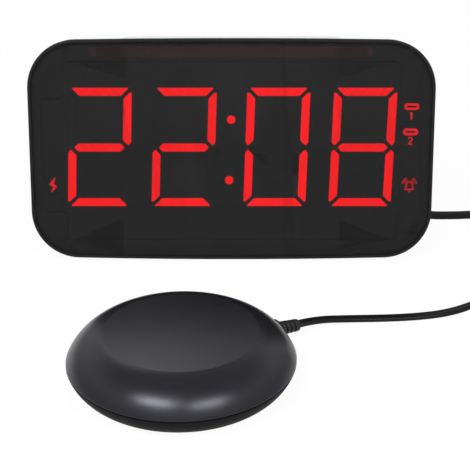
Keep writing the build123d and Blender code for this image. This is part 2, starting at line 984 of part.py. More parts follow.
def speaker():
    """A flat rim, a cone's basket and a magnet, facing the grille."""
    rim_front = wall_back - speaker_rim_thick
    basket_front = rim_front - speaker_cone_depth
    z = speaker_z()
    rim = rod(speaker_x, z, rim_front, wall_back, speaker_radius)
    basket = cone(magnet_radius, speaker_cone_radius, speaker_cone_depth)
    basket = upright_plane(speaker_x, basket_front, z) * basket
    magnet = rod(speaker_x, z, basket_front - magnet_depth, basket_front, magnet_radius)
    deep = speaker_rim_thick + speaker_cone_depth / 2
    dish = cone(magnet_radius / 2, speaker_cone_radius - grille_edge / 2, deep)
    dish = upright_plane(speaker_x, wall_back - deep, z) * dish
    return rim + basket + magnet - dish


# The snooze bar


def snooze_lip_low():
    return case_top - wall - seat_gap - snooze_lip_thick


def snooze_board_low():
    switch = tact_height + tact_plunger_height
    return snooze_lip_low() - snooze_travel - press_gap - switch - board_thick


def snooze_bar():
    """The long bar in the top of the casing, held by a lip at each end."""
    low = snooze_lip_low()
    high = case_top + snooze_rise
    bar = extrude(Pos(0, 0, low) * snooze_outline(0), amount=high - low)
    bar = fillet(bar.faces().sort_by(Axis.Z)[-1].edges(), snooze_edge_round)
    length = snooze_length + 2 * snooze_lip
    width = snooze_width - 2 * snooze_lip_short
    lip = Pos(0, snooze_place(), low) * RectangleRounded(length, width, snooze_round - snooze_lip_short)
    return bar + extrude(lip, amount=snooze_lip_thick)


def snooze_board():
    half = snooze_board_length / 2
    deep = snooze_board_width / 2
    y = snooze_place()
    low = snooze_board_low()
    return block(-half, half, y - deep, y + deep, low, low + board_thick)


def snooze_switches():
    """Two tact switches that stand under the bar."""
    made = []
    y = snooze_place()
    low = snooze_board_low() + board_thick
    for x in (-snooze_switch_x, snooze_switch_x):
        side = tact_side / 2
        top = low + tact_height
        body = block(x - side, x + side, y - side, y + side, low, top)
        made.append(body + post(x, y, top, top + tact_plunger_height, tact_plunger_radius))
    return made


# The coin cell


def battery_holder():
    """A frame on the casing's floor with a round pocket that opens downward."""
    half = holder_width / 2
    front = holder_back - holder_length
    high = floor_top + holder_height
    frame = block(cell_x - half, cell_x + half, front, holder_back, floor_top, high)
    top = floor_top + cell_lift + cell_thick + contact_thick
    pocket = post(cell_x, clock_front + cell_y, floor_top - overrun, top, cell_radius + cell_fit)
    return frame - pocket


def backup_cell():
    low = floor_top + cell_lift
    return post(cell_x, clock_front + cell_y, low, low + cell_thick, cell_radius)


def battery_contact():
    """The flat spring between the cell and the top of its pocket."""
    low = floor_top + cell_lift + cell_thick
    deep = contact_length / 2
    half = contact_width / 2
    middle = clock_front + cell_y
    return block(cell_x - half, cell_x + half, middle - deep, middle + deep, low, low + contact_thick)


def battery_door():
    """The T-edged door, flush with the casing's floor and back, with grooves to push it by."""
    door = door_channel(-door_fit) & casing_body(0)
    left, right = cell_x - door_width / 2, cell_x + door_width / 2
    high = floor_top - door_fit
    door -= block(left, right, door_front, clock_back, high, floor_top + overrun)
    left, right = cell_x - door_groove_length / 2, cell_x + door_groove_length / 2
    for k in range(door_grooves):
        y = clock_back - case_back_round - door_groove_width - k * door_groove_pitch
        top = base_gap + door_groove_depth
        door -= block(left, right, y - door_groove_width, y, base_gap - overrun, top)
    return door


# The puck


def around_puck(outline):
    """A profile in radius and height, turned about the puck's upright axis."""
    return Pos(puck_x, puck_y, 0) * revolve(Plane.XZ * outline, axis=Axis.Z)


def top_profile(inset):
    """The upper shell's half section: a nearly flat top, a soft crease and a full shoulder."""
    top = puck_top_z - inset
    aside = inset * diagonal_share
    crease = (puck_radius - puck_crease_inset - inset / 2, top - puck_crease_drop)
    shoulder = (puck_radius - puck_shoulder_inset - aside, puck_top_z - puck_shoulder_drop - aside)
    rim = (puck_radius - inset, puck_seam_z + puck_rim_land)
    bow = (top + crease[1]) / 2 + (top - crease[1]) / 4
    edges = [
        ThreePointArc((0, top), (crease[0] / 2, bow), crease),
        ThreePointArc(crease, shoulder, rim),
        Line(rim, (rim[0], puck_seam_z)),
        Line((rim[0], puck_seam_z), (0, puck_seam_z)),
        Line((0, puck_seam_z), (0, top)),
    ]
    return make_face(edges)


def bottom_profile(inset):
    """The lower shell's half section, which draws in toward the table."""
    aside = inset * diagonal_share
    under = (puck_radius - puck_under_inset - inset / 2, puck_under_z + inset)
    belly = (puck_radius - puck_belly_inset - aside, puck_under_z + puck_belly_rise + aside)
    rim = (puck_radius - inset, puck_seam_z)
    edges = [
        Line((0, under[1]), under),
        ThreePointArc(under, belly, rim),
        Line(rim, (0, puck_seam_z)),
        Line((0, puck_seam_z), (0, under[1])),
    ]
    return make_face(edges)


def ring_profile(inner, outer, low, high):
    return Pos((inner + outer) / 2, (low + high) / 2) * Rectangle(outer - inner, high - low)


def polar(angle, distance):
    """A point on the table plane, that far from the puck's axis."""
    turn = math.radians(angle)
    return puck_x + distance * math.cos(turn), puck_y + distance * math.sin(turn)


def puck_screws_at():
    return [polar(angle, puck_radius - puck_screw_inset) for angle in puck_screw_angles]


def relief_frame():
    """The strain relief's own axes: its Z runs out of the puck and a little down."""
    turn = math.radians(relief_angle)
    dip = math.radians(relief_dip)
    x, y = polar(relief_angle, puck_radius - relief_inset)
    out = (math.cos(turn) * math.cos(dip), math.sin(turn) * math.cos(dip), -math.sin(dip))
    return Plane(origin=(x, y, puck_seam_z), z_dir=out)


def relief_bore():
    """The round seat that the strain relief's collar fills in both shells."""
    radius = relief_collar_radius + relief_seat_fit
    depth = relief_flange_length + relief_collar_length
    return relief_frame() * cylinder(radius, depth)


def shaker_top_shell():
    """The upper shell, with a groove over the seam and posts for the screws."""
    shell = around_puck(top_profile(0)) - around_puck(top_profile(puck_wall))
    seam_top = puck_seam_z + seam_width
    groove = ring_profile(puck_radius - seam_depth, puck_radius + overrun, puck_seam_z, seam_top)
    shell -= around_puck(groove)
    for x, y in puck_screws_at():
        boss = post(x, y, puck_seam_z, puck_top_z, puck_boss_radius)
        shell += boss & around_puck(top_profile(puck_wall / 2))
    for x, y in puck_screws_at():
        shell -= post(x, y, 0, puck_seam_z + puck_screw_grip, puck_screw_radius + screw_fit)
    return shell - relief_bore()


def shaker_bottom_shell():
    """The lower shell, with a lip that centres the upper one, screw posts and the motor's cradle."""
    shell = around_puck(bottom_profile(0)) - around_puck(bottom_profile(puck_wall))
    outer = puck_radius - puck_wall - lip_fit
    inner = outer - seam_lip
    low = puck_seam_z - seam_lip_height
    shell += around_puck(ring_profile(inner, outer, low, puck_seam_z + puck_rim_land))
    shell += around_puck(ring_profile(inner, puck_radius - puck_wall / 2, low, puck_seam_z))
    for x, y in puck_screws_at():
        shell += post(x, y, puck_under_z, puck_seam_z, puck_boss_radius)
    shell += motor_cradle()
    for x, y in puck_screws_at():
        shell -= post(x, y, 0, puck_seam_z + overrun, puck_screw_radius + screw_fit)
        shell -= post(x, y, 0, puck_under_z + puck_screw_head_thick, puck_screw_head + screw_fit)
    ring = ring_profile(ring_inner, ring_outer, 0, puck_under_z + ring_sink)
    shell -= around_puck(ring)
    for x, y in puck_screws_at():
        shell -= post(x, y, puck_seam_z, puck_top_z, puck_boss_radius + lip_fit)
    return shell - relief_bore()


def shaker_foot_ring():
    """The rubber ring that the puck stands on."""
    return around_puck(ring_profile(ring_inner, ring_outer, 0, puck_under_z + ring_sink))


def shaker_screws():
    seat = puck_under_z + puck_screw_head_thick
    tip = puck_seam_z + puck_screw_grip - screw_fit
    half = slot_width / 2
    made = []
    for x, y in puck_screws_at():
        head = post(x, y, puck_under_z, seat, puck_screw_head)
        shank = post(x, y, seat, tip, puck_screw_radius)
        left, right = x - puck_screw_head, x + puck_screw_head
        slot = block(left, right, y - half, y + half, 0, puck_under_z + slot_depth / 2)
        made.append(head + shank - slot)
    return made


def motor_frame():
    """The motor's own axes at its axis, with its X along the shaft and its Z up."""
    x, y = polar(motor_angle, -motor_shift_length)
    turn = math.radians(motor_angle)
    along = (math.cos(turn), math.sin(turn), 0)
    return Plane(origin=(x, y, motor_height), x_dir=along, z_dir=(0, 0, 1))


def side_of_motor():
    """The level direction across the motor."""
    return motor_frame().y_dir


def along_motor(start, end, radius):
    """A round rod on the motor's axis, between two distances along it."""
    return Plane(origin=(start, 0, 0), z_dir=(1, 0, 0)) * cylinder(radius, end - start)


def motor_case():
    """The motor's can, with its two flat sides and the bearing boss round its shaft."""
    half = motor_length / 2
    can = along_motor(-half, half, motor_radius)
    can &= block(-half, half, -motor_radius, motor_radius, -motor_flat, motor_flat)
    can += along_motor(half, half + motor_boss_length, motor_boss_radius)
    can -= along_motor(half - motor_shaft_in, half + motor_boss_length, motor_shaft_radius + shaft_fit)
    return motor_frame() * can


def motor_cradle():
    """The bed on the lower shell that the motor lies on, with a cheek along each side."""
    half = cradle_length / 2
    side = motor_radius + clamp_thick + clamp_fit
    low = -motor_flat - cradle_rise - puck_wall / 2
    bed = block(-half, half, -side, side, low, -motor_flat)
    for sign in (-1, 1):
        ear = sorted((sign * side, sign * (side + clamp_ear)))
        bed += block(-half, half, ear[0], ear[1], low, -motor_flat)
    return motor_frame() * bed


def motor_clamp():
    """The strap over the motor, with an ear on the cradle at each side."""
    half = clamp_width / 2
    inner = motor_radius + clamp_fit
    outer = inner + clamp_thick
    top = motor_flat + clamp_fit
    strap = block(-half, half, -outer, outer, -motor_flat, top + clamp_thick)
    strap -= block(-half - overrun, half + overrun, -inner, inner, -motor_flat - overrun, top)
    for sign in (-1, 1):
        ear = sorted((sign * inner, sign * (outer + clamp_ear - clamp_thick)))
        strap += block(-half, half, ear[0], ear[1], -motor_flat, clamp_thick - motor_flat)
    return motor_frame() * strap


def motor_shaft():
    half = motor_length / 2
    inner = half - motor_shaft_in + press_gap
    return motor_frame() * along_motor(inner, half + motor_shaft_out, motor_shaft_radius)


def eccentric_weight():
    """The half disc that shakes the puck, with the hub that grips the shaft."""
    start = motor_length / 2 + motor_boss_length + weight_gap
    end = start + weight_length
    weight = along_motor(start, end, weight_radius)
    weight -= block(start, end, -weight_radius, weight_radius, 0, weight_radius)
    weight += along_motor(start, end, weight_hub_radius)
    return motor_frame() * (weight - along_motor(start, end, motor_shaft_radius))


def motor_leads():
    """The two wires from the strain relief to the motor's tail."""
    made = []
    tail = motor_frame()
    start = relief_frame()
    for side in (-1, 1):
        away = side * lead_apart / 2
        first = start.origin - start.z_dir * press_gap + side_of_motor() * away
        last = tail.origin - tail.x_dir * (motor_length / 2 + press_gap) + side_of_motor() * away
        section = Plane(origin=first, z_dir=last - first) * Circle(lead_radius)
        made.append(sweep(section, path=Line(first, last)))
    return made


# The cord


def relief_sections():
    """Radius and length of each step along the strain relief, from the collar to the tip."""
    steps = [(relief_flange_radius, relief_flange_length), (relief_collar_radius, relief_collar_length)]
    radius = relief_ring_radius
    for _ in range(relief_rings):
        steps.append((relief_neck_radius, relief_neck_length))
        steps.append((radius, relief_ring_length))
        radius *= 1 - relief_taper_share
    return steps


def relief_length():
    return sum(length for _, length in relief_sections())


def strain_relief():
    """The moulded sleeve: a collar in the shells' seat, then rings with necks between them."""
    made = None
    reach = 0
    for radius, length in relief_sections():
        piece = Pos(0, 0, reach) * cylinder(radius, length)
        made = piece if made is None else made + piece
        reach += length
    return relief_frame() * made


def plug_tip_end():
    return clock_back + plug_front_gap - plug_tip_length


def shaker_plug():
    """The plug's right-angled body, flat to the rear wall, with its boot toward the cord."""
    near = clock_back + plug_front_gap
    side = plug_side / 2
    body = block(jack_x - side, jack_x + plug_reach, near, near + plug_thick, port_z - side, port_z + side)
    body = fillet(body.edges().filter_by(Axis.X), plug_round)
    place = Plane(origin=(jack_x + plug_reach, jack_y, port_z), z_dir=(1, 0, 0))
    return body + place * cone(plug_boot_radius, plug_boot_end, plug_boot_length)


def plug_tip():
    return rod(jack_x, port_z, plug_tip_end(), clock_back + plug_front_gap, plug_tip_radius)


def tube(start, direction, path, name):
    """The cord's eight-sided solid along a path, checked against its section times its length."""
    section = Plane(origin=start, z_dir=direction) * RegularPolygon(cord_radius, cord_sides)
    made = sweep(section, path=path)
    length = made.volume / section.area
    print(name, "length:", round(path.length, 1), "volume over section:", round(length, 1))
    return made


def eased_path(points, name):
    """Straight runs joined by tangent arcs, each as large as its two runs allow."""
    radii = []
    for before, at, after in zip(points, points[1:], points[2:]):
        turn = (at - before).get_angle(after - at)
        shorter = min((at - before).length, (after - at).length)
        radii.append(arc_share * shorter / math.tan(math.radians(turn / 2)))
    print(name, "bend radii:", [round(radius, 1) for radius in radii])
    return FilletPolyline(*points, radius=radii)


def cord_stretch(points, name):
    """One free stretch of cord."""
    return tube(points[0], points[1] - points[0], eased_path(points, name), name)


def along_clock(points):
    return [Vector(x, clock_front + y, z) for x, y, z in points]


def shaker_cord_front():
    """From the strain relief's tip, along the table in front of the clock, to the coil."""
    frame = relief_frame()
    start = frame.origin + frame.z_dir * relief_length()
    leaving = start + frame.z_dir * relief_leave
    end = coil_start() - Vector(coil_lead, 0, 0)
    before = end - Vector(coil_approach, 0, 0)
    return cord_stretch([start, leaving, *along_clock(front_route), before, end], "front cord")


def shaker_cord_rear():
    """From the coil, along the table behind the clock, up to the plug."""
    end = Vector(jack_x + plug_reach + plug_boot_length, jack_y, port_z)
    before = end + Vector(plug_leave, 0, 0)
    start = coil_edges()[-1] @ 1
    leaving = start - Vector(coil_leave, 0, 0)
    return cord_stretch([start, leaving, *along_clock(rear_route), before, end], "rear cord")


def coil_start():
    return Vector(coil_x, clock_front + coil_y - coil_radius, cord_rest)


def coil_steps():
    """How far in each half turn lies, in half pitches, and whether it climbs a layer."""
    steps = []
    for layer in range(coil_layers):
        inward_steps = range(coil_half_turns)
        steps += [(k, False) for k in (inward_steps if layer % 2 == 0 else reversed(inward_steps))]
        if layer < coil_layers - 1:
            steps.append((coil_half_turns if layer % 2 == 0 else -1, True))
    return steps


def climbing_half_turn(start, side, radius):
    """A half turn that rises one layer: two arcs that meet on their tangent, so that nothing kinks.
    The middle lies sqrt(radius^2 + rise^2 / 4) out, where both arcs are symmetrical."""
    rise = coil_layer_rise / 2
    out = math.hypot(radius, rise)
    middle = start + Vector(side * out, side * radius, rise)
    end = start + Vector(0, 2 * side * radius, 2 * rise)
    first = TangentArc(start, middle, tangent=(side, 0, 0))
    return [first, TangentArc(middle, end, tangent=(0, side * radius, rise))]


def coil_edges():
    """The coil's whole centreline, with a short straight lead at each end."""
    point = coil_start()
    edges = [Line(point - Vector(coil_lead, 0, 0), point)]
    side = 1
    for step, climbs in coil_steps():
        radius = coil_radius - step * coil_pitch / 2
        if climbs:
            edges += climbing_half_turn(point, side, radius)
        else:
            end = point + Vector(0, 2 * side * radius, 0)
            edges.append(TangentArc(point, end, tangent=(side, 0, 0)))
        point = edges[-1] @ 1
        side = -side
    edges.append(Line(point, point + Vector(side * coil_lead, 0, 0)))
    return edges


def coil_self_gap(path):
    """The least gap between the tube and itself, from points along its centreline."""
    points = [path @ (k / coil_samples) for k in range(coil_samples + 1)]
    near = math.ceil(3 * cord_radius * coil_samples / path.length) + 1
    least = path.length
    for k, point in enumerate(points):
        for other in points[k + near:]:
            least = min(least, (point - other).length)
    return least - 2 * cord_radius


def shaker_cord_coil():
    """The put-away length as one unbroken tube, wound in and out in layers."""
    path = Wire(coil_edges())
    print("coil least self-gap:", round(coil_self_gap(path), 2))
    return tube(path @ 0, (1, 0, 0), path, "coil")


def save(name, shape):
    """Writes one node. A list of solids becomes one group."""
    if isinstance(shape, (list, tuple)):
        shape = Compound(children=[solid for piece in shape for solid in piece.solids()])
    export_step(shape, f"parts/{name}.step")


def build():
    os.makedirs("parts", exist_ok=True)
    for make in (
        front_bezel,
        display_lens,
        light_strip,
        display_frame,
        lit_segments,
        unlit_segments,
        sign_diffusers,
        display_leds,
        display_board,
        rear_shell,
        rubber_feet,
        case_screws,
        main_board,
        board_screws,
        tact_switches,
        slide_switches,
        dimmer_potentiometer,
        dimmer_knob,
        usb_tongues,
        dc_jack,
        dc_jack_pin,
        shaker_jack,
        speaker,
        snooze_bar,
        snooze_board,
        snooze_switches,
        battery_holder,
        backup_cell,
        battery_contact,
        battery_door,
        shaker_top_shell,
        shaker_bottom_shell,
        shaker_foot_ring,
        shaker_screws,
        motor_case,
        motor_clamp,
        motor_shaft,
        eccentric_weight,
        motor_leads,
        strain_relief,
        shaker_plug,
        plug_tip,
        shaker_cord_front,
        shaker_cord_coil,
        shaker_cord_rear,
    ):
        save(make.__name__, make())
    for name, x in zip(button_names, button_x):
        save(f"{name}_button", push_button(x))
    for name, x in zip(slide_names, slide_x):
        save(f"{name}_knob", slide_knob(x))
    for number, x in enumerate(usb_x, start=1):
        save(f"usb_port_{number}", usb_port(x))


build()
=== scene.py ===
# %% [markdown]
# # A bed shaker alarm clock
# A black digital clock leans back on its rubber feet and shows the time in red. A round puck
# lies in front of it on a flat twin cord: under a pillow it shakes a sleeper awake. The solid
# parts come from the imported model. This lesson adds their finishes, and the surfaces that
# show most are worked out as formulas.

# %% Load the frame
import math

import bpy
import numpy as np
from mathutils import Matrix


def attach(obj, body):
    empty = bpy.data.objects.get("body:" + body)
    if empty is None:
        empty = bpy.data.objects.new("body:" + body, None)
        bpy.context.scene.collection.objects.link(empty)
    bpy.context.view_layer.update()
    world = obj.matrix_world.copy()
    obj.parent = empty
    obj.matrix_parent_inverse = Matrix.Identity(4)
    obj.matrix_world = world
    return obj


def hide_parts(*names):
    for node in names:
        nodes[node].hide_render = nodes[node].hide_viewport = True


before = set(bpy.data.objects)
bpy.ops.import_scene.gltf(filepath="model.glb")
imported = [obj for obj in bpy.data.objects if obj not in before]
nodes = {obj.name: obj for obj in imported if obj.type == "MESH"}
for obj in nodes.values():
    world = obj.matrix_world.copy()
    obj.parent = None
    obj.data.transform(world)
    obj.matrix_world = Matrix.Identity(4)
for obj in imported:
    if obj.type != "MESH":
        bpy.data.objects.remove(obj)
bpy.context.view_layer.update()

# %% [markdown]
# Sizes are easier to read in millimetres, and Blender works in metres, so one factor turns
# the first into the second. The names below repeat the model's own sizes.

# %% Sizes shared by several pieces
MM = 0.001
clock_front = 41.55
base_gap = 2.0
lean = math.radians(12.8)
lens_thick = 2.0
puck_middle = np.array([-17.1, -51.05])
relief_turn = math.radians(36.0)
relief_dip = math.radians(11.5)


def on_face(u, h, depth):
    """Points on the leaning face, from the distance u across, h up the face and the depth
    behind it: Y = front + h sin(lean) + depth cos(lean), and
    Z = gap + h cos(lean) - depth sin(lean)."""
    u, h, depth = np.broadcast_arrays(*[np.asarray(v, dtype=float) for v in (u, h, depth)])
    y = clock_front + h * math.sin(lean) + depth * math.cos(lean)
    z = base_gap + h * math.cos(lean) - depth * math.sin(lean)
    return np.stack([u, y, z], axis=-1)


# %% [markdown]
# The camera stands where the photographer's did: a long lens about half a metre away, looking
# down by 25 degrees. Its place was solved from the outline of the face and of the puck together.

# %% Place the camera
photo_width = 470
focal_pixels = 1144.5
sensor_width = 36.0
nearest_seen = 0.01
camera_side = 1.45
camera_ahead = 435.3
camera_height = 216.5
camera_dip = 25.01

camera_data = bpy.data.cameras.new("camera")
camera_data.sensor_width = sensor_width
camera_data.lens = focal_pixels / photo_width * camera_data.sensor_width
camera_data.clip_start = nearest_seen
camera = bpy.data.objects.new("camera", camera_data)
bpy.context.scene.collection.objects.link(camera)
camera.location = (camera_side * MM, (clock_front - camera_ahead) * MM, camera_height * MM)
camera.rotation_euler = (math.radians(90 - camera_dip), 0, 0)
bpy.context.scene.camera = camera
print("lens:", round(camera_data.lens, 2), "mm")

# %% [markdown]
# A tube is a grid of points, with rings along it and sides round it. Quads join the points,
# the last side to the first again, and one many-sided face closes each end.

# %% Turn points into meshes
def tube_faces(rings, sides):
    """Corner numbers of a tube's faces, where side j of ring i has the number i * sides + j."""
    i, j = np.meshgrid(np.arange(rings - 1), np.arange(sides), indexing="ij")
    here, ahead, beside = i * sides, (i + 1) * sides, (j + 1) % sides
    quads = np.stack([ahead + j, ahead + beside, here + beside, here + j], axis=-1)
    first = list(range(sides))
    last = list(range((rings - 1) * sides, rings * sides))[::-1]
    return quads.reshape(-1, 4).tolist() + [first, last]


def add_piece(name, points, faces, material, body="clock", smooth=True):
    """Makes a mesh object from points in millimetres and lists of corner numbers."""
    mesh = bpy.data.meshes.new(name)
    mesh.from_pydata((points.reshape(-1, 3) * MM).tolist(), [], faces)
    mesh.update()
    if smooth:
        mesh.shade_smooth()
    piece = bpy.data.objects.new(name, mesh)
    bpy.context.scene.collection.objects.link(piece)
    mesh.materials.append(material)
    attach(piece, body)
    print(f"{name}: {len(mesh.vertices)} points, {len(mesh.polygons)} faces")
    return piece


# %% [markdown]
# Most pieces are moulded plastic. Real mouldings are never one flat colour: the tool leaves a
# fine grain, the gloss changes a little from place to place, and dust dulls it. One recipe
# holds all of that, and each finish is the recipe with its own numbers.

# %% The recipe for moulded plastic
finishes = {}
noise_low, noise_high = 0.25, 0.75
cloud_scale = 60.0
drift_scale = 140.0
plain_shine = 0.5


def new_finish(name):
    """A new material, with its node tree and its Principled shader."""
    material = bpy.data.materials.new(name)
    material.use_nodes = True
    tree = material.node_tree
    finishes[name] = material
    return material, tree, tree.nodes["Principled BSDF"]


def object_noise(tree, scale, detail=4.0):
    """A noise pattern fixed to the object, with that many features to a metre."""
    place = tree.nodes.new("ShaderNodeTexCoord")
    noise = tree.nodes.new("ShaderNodeTexNoise")
    noise.inputs["Scale"].default_value = scale
    noise.inputs["Detail"].default_value = detail
    tree.links.new(place.outputs["Object"], noise.inputs["Vector"])
    return noise.outputs["Fac"]


def spread_range(tree, value, old, new, curve="LINEAR"):
    """Maps a value from the old range, a pair of numbers, onto the new one."""
    spread = tree.nodes.new("ShaderNodeMapRange")
    spread.interpolation_type = curve
    spread.inputs["From Min"].default_value = old[0]
    spread.inputs["From Max"].default_value = old[1]
    spread.inputs["To Min"].default_value = new[0]
    spread.inputs["To Max"].default_value = new[1]
    tree.links.new(value, spread.inputs["Value"])
    return spread.outputs["Result"]


def between(tree, factor, low, high):
    """Maps the middle half of a noise onto the range from low to high."""
    return spread_range(tree, factor, (noise_low, noise_high), (low, high))


def two_colours(tree, factor, dark, light):
    """A colour that drifts with a noise from the dark one to the light one."""
    mix = tree.nodes.new("ShaderNodeMix")
    mix.data_type = "RGBA"
    mix.inputs["A"].default_value = (*dark, 1)
    mix.inputs["B"].default_value = (*light, 1)
    tree.links.new(between(tree, factor, 0, 1), mix.inputs["Factor"])
    return mix.outputs["Result"]


def grain_bump(tree, shader, grain):
    """A fine moulded grain: a noise of so many bumps to a metre, so deep in metres."""
    scale, depth = grain
    bump = tree.nodes.new("ShaderNodeBump")
    bump.inputs["Distance"].default_value = depth
    bump.inputs["Strength"].default_value = 1.0
    tree.links.new(object_noise(tree, scale, detail=2.0), bump.inputs["Height"])
    tree.links.new(bump.outputs["Normal"], shader.inputs["Normal"])


def moulded(name, dark, light, gloss, grain, shine=plain_shine, metal=0.0):
    """Moulded or metal finish: two close colours in slow clouds, a roughness that drifts
    between the two values of its gloss, a fine grain, and a shine of the surface itself."""
    material, tree, shader = new_finish(name)
    clouds = object_noise(tree, cloud_scale)
    tree.links.new(two_colours(tree, clouds, dark, light), shader.inputs["Base Color"])
    drift = between(tree, object_noise(tree, drift_scale), *gloss)
    tree.links.new(drift, shader.inputs["Roughness"])
    grain_bump(tree, shader, grain)
    shader.inputs["Specular IOR Level"].default_value = shine
    shader.inputs["Metallic"].default_value = metal
    return material


# %% [markdown]
# A grain is a pair of numbers: its bumps to a metre, and their depth in metres. The shine is
# how strongly a surface mirrors on top of its own colour. Half is usual, and the display's
# matt pieces have much less.

# %% Grains and shines
matt_grain = (1800.0, 0.00005)
even_grain = (2500.0, 0.00002)
fine_grain = (3000.0, 0.00001)
skin_grain = (3200.0, 0.000012)
rubber_grain = (1500.0, 0.00004)
metal_grain = (1500.0, 0.00001)
cord_grain = (1500.0, 0.00002)
sleeve_grain = (2500.0, 0.00001)
matt_shine = 0.1
rubber_shine = 0.3
lens_shine = 0.06

# %% [markdown]
# The casing is plain black moulding with a fine matt grain, and the buttons are a little
# shinier where fingers touch them. Behind the lens, the frame and the bezel's ledge are one
# flat dark grey, so that nothing but the light shows through.

# %% The grey behind the lens
display_dark = (0.0178, 0.0177, 0.018)
display_light = (0.0185, 0.0184, 0.0187)
display_gloss = (0.7, 0.8)

# %% Plastics of the clock
moulded("casing_black", (0.016, 0.016, 0.017), (0.021, 0.021, 0.022), (0.48, 0.58), matt_grain)
moulded("display_black", display_dark, display_light, display_gloss, fine_grain, matt_shine)
moulded("button_black", (0.018, 0.018, 0.019), (0.026, 0.026, 0.027), (0.32, 0.4), fine_grain)
moulded("snooze_grey", (0.71, 0.71, 0.72), (0.75, 0.75, 0.76), (0.36, 0.44), even_grain)
moulded("part_black", (0.013, 0.013, 0.013), (0.02, 0.02, 0.02), (0.45, 0.6), even_grain)
moulded("tongue_white", (0.68, 0.68, 0.66), (0.75, 0.75, 0.73), (0.4, 0.5), fine_grain)
moulded("led_resin", (0.75, 0.7, 0.55), (0.85, 0.8, 0.66), (0.1, 0.2), fine_grain)
moulded("rubber_black", (0.012, 0.012, 0.012), (0.02, 0.02, 0.02), (0.75, 0.9), rubber_grain,
        rubber_shine)
moulded("lead_red", (0.3, 0.02, 0.015), (0.4, 0.03, 0.02), (0.4, 0.5), fine_grain)
print("plastics:", len(finishes))

# %% [markdown]
# The bezel is one moulding with two looks: a satin black rim that shows, and the flat grey
# ledge under the lens. A point's depth behind the face is the dot product of its place with
# the face's inward normal, so a narrow band of that depth picks out the ledge.

# %% The bezel
rim_dark = (0.009, 0.009, 0.01)
rim_light = (0.012, 0.012, 0.013)
rim_gloss = (0.42, 0.5)
ledge_band = 0.03
ledge_gloss = 0.75


def bezel_moulding():
    """Grey where |P . n - offset| < band, with n = (0, cos lean, -sin lean), and black
    elsewhere."""
    material = moulded("bezel_black", rim_dark, rim_light, rim_gloss, fine_grain, matt_shine)
    tree = material.node_tree
    shader = tree.nodes["Principled BSDF"]
    place = tree.nodes.new("ShaderNodeTexCoord")
    deep = tree.nodes.new("ShaderNodeVectorMath")
    deep.operation = "DOT_PRODUCT"
    deep.inputs[1].default_value = (0, math.cos(lean), -math.sin(lean))
    ledge = tree.nodes.new("ShaderNodeMath")
    ledge.operation = "COMPARE"
    at_ledge = on_face(0, 0, lens_thick) * MM
    offset = at_ledge[1] * math.cos(lean) - at_ledge[2] * math.sin(lean)
    ledge.inputs[1].default_value = offset
    ledge.inputs[2].default_value = ledge_band * MM
    tree.links.new(place.outputs["Object"], deep.inputs[0])
    tree.links.new(deep.outputs["Value"], ledge.inputs[0])
    colour = tree.nodes.new("ShaderNodeMix")
    colour.data_type = "RGBA"
    colour.inputs["B"].default_value = (*display_dark, 1)
    gloss = tree.nodes.new("ShaderNodeMix")
    gloss.inputs["B"].default_value = ledge_gloss
    for mix, target in ((colour, "Base Color"), (gloss, "Roughness")):
        of_rim = shader.inputs[target].links[0].from_socket
        tree.links.new(ledge.outputs["Value"], mix.inputs["Factor"])
        tree.links.new(of_rim, mix.inputs["A"])
        tree.links.new(mix.outputs["Result"], shader.inputs[target])


bezel_moulding()

# %% [markdown]
# The puck has a soft matt skin, a little bluish where it catches the light. Its lower shell is
# the same plastic made darker and duller: painted shade, for the shade under the puck's rim.

# %% Plastics of the puck
puck_tint = (0.88, 0.88, 1.0, 1)
puck_skin = moulded(
    "puck_skin", (0.0065, 0.0065, 0.0085), (0.008, 0.008, 0.0105), (0.27, 0.31), skin_grain, 0.36)
puck_skin.node_tree.nodes["Principled BSDF"].inputs["Specular Tint"].default_value = puck_tint
# The lower shell's darker colour and low shine are painted shade under the rim.
moulded(
    "puck_under_painted_shade", (0.006, 0.006, 0.0062), (0.0075, 0.0075, 0.0077), (0.5, 0.56), skin_grain, 0.04)
print("with the puck's:", len(finishes))

# %% [markdown]
# Metals share the same recipe with the Metallic value at 1. Circuit boards are green solder
# mask over faint copper tracks: a brick pattern whose joints are the tracks.

# %% Metals and circuit boards
for metal_name, dark, light, gloss in (
    ("zinc_steel", (0.42, 0.42, 0.43), (0.55, 0.55, 0.56), (0.25, 0.4)),
    ("port_nickel", (0.5, 0.49, 0.47), (0.6, 0.59, 0.57), (0.18, 0.28)),
    ("brass_plain", (0.55, 0.38, 0.14), (0.66, 0.48, 0.2), (0.25, 0.4)),
):
    moulded(metal_name, dark, light, gloss, metal_grain, metal=1.0)


def solder_mask():
    """Green board: two close greens, with a brick pattern's lighter joints for tracks."""
    material, tree, shader = new_finish("board_green")
    place = tree.nodes.new("ShaderNodeTexCoord")
    tracks = tree.nodes.new("ShaderNodeTexBrick")
    tracks.inputs["Scale"].default_value = 260.0
    tracks.inputs["Color1"].default_value = (0.008, 0.07, 0.03, 1)
    tracks.inputs["Color2"].default_value = (0.01, 0.09, 0.038, 1)
    tracks.inputs["Mortar"].default_value = (0.02, 0.16, 0.07, 1)
    tracks.inputs["Mortar Size"].default_value = 0.03
    tree.links.new(place.outputs["Object"], tracks.inputs["Vector"])
    tree.links.new(tracks.outputs["Color"], shader.inputs["Base Color"])
    shader.inputs["Roughness"].default_value = 0.3


solder_mask()
print("all solid finishes:", len(finishes))

# %% [markdown]
# The lens is smoked acrylic over the whole face. It is nearly as dark as the frame behind it,
# so the unlit segments vanish and only the light gets through. A part of each ray passes
# straight on, which the shader's Alpha gives without bending it.

# %% The smoked lens and the light behind it
lens_cover = 0.25
lens_dark = (0.0203, 0.02, 0.0203)
lens_light = (0.0211, 0.0208, 0.0211)
plate_red = (0.01, 0.003, 0.003, 1)
plate_gloss = 0.6
unevenness = 0.008


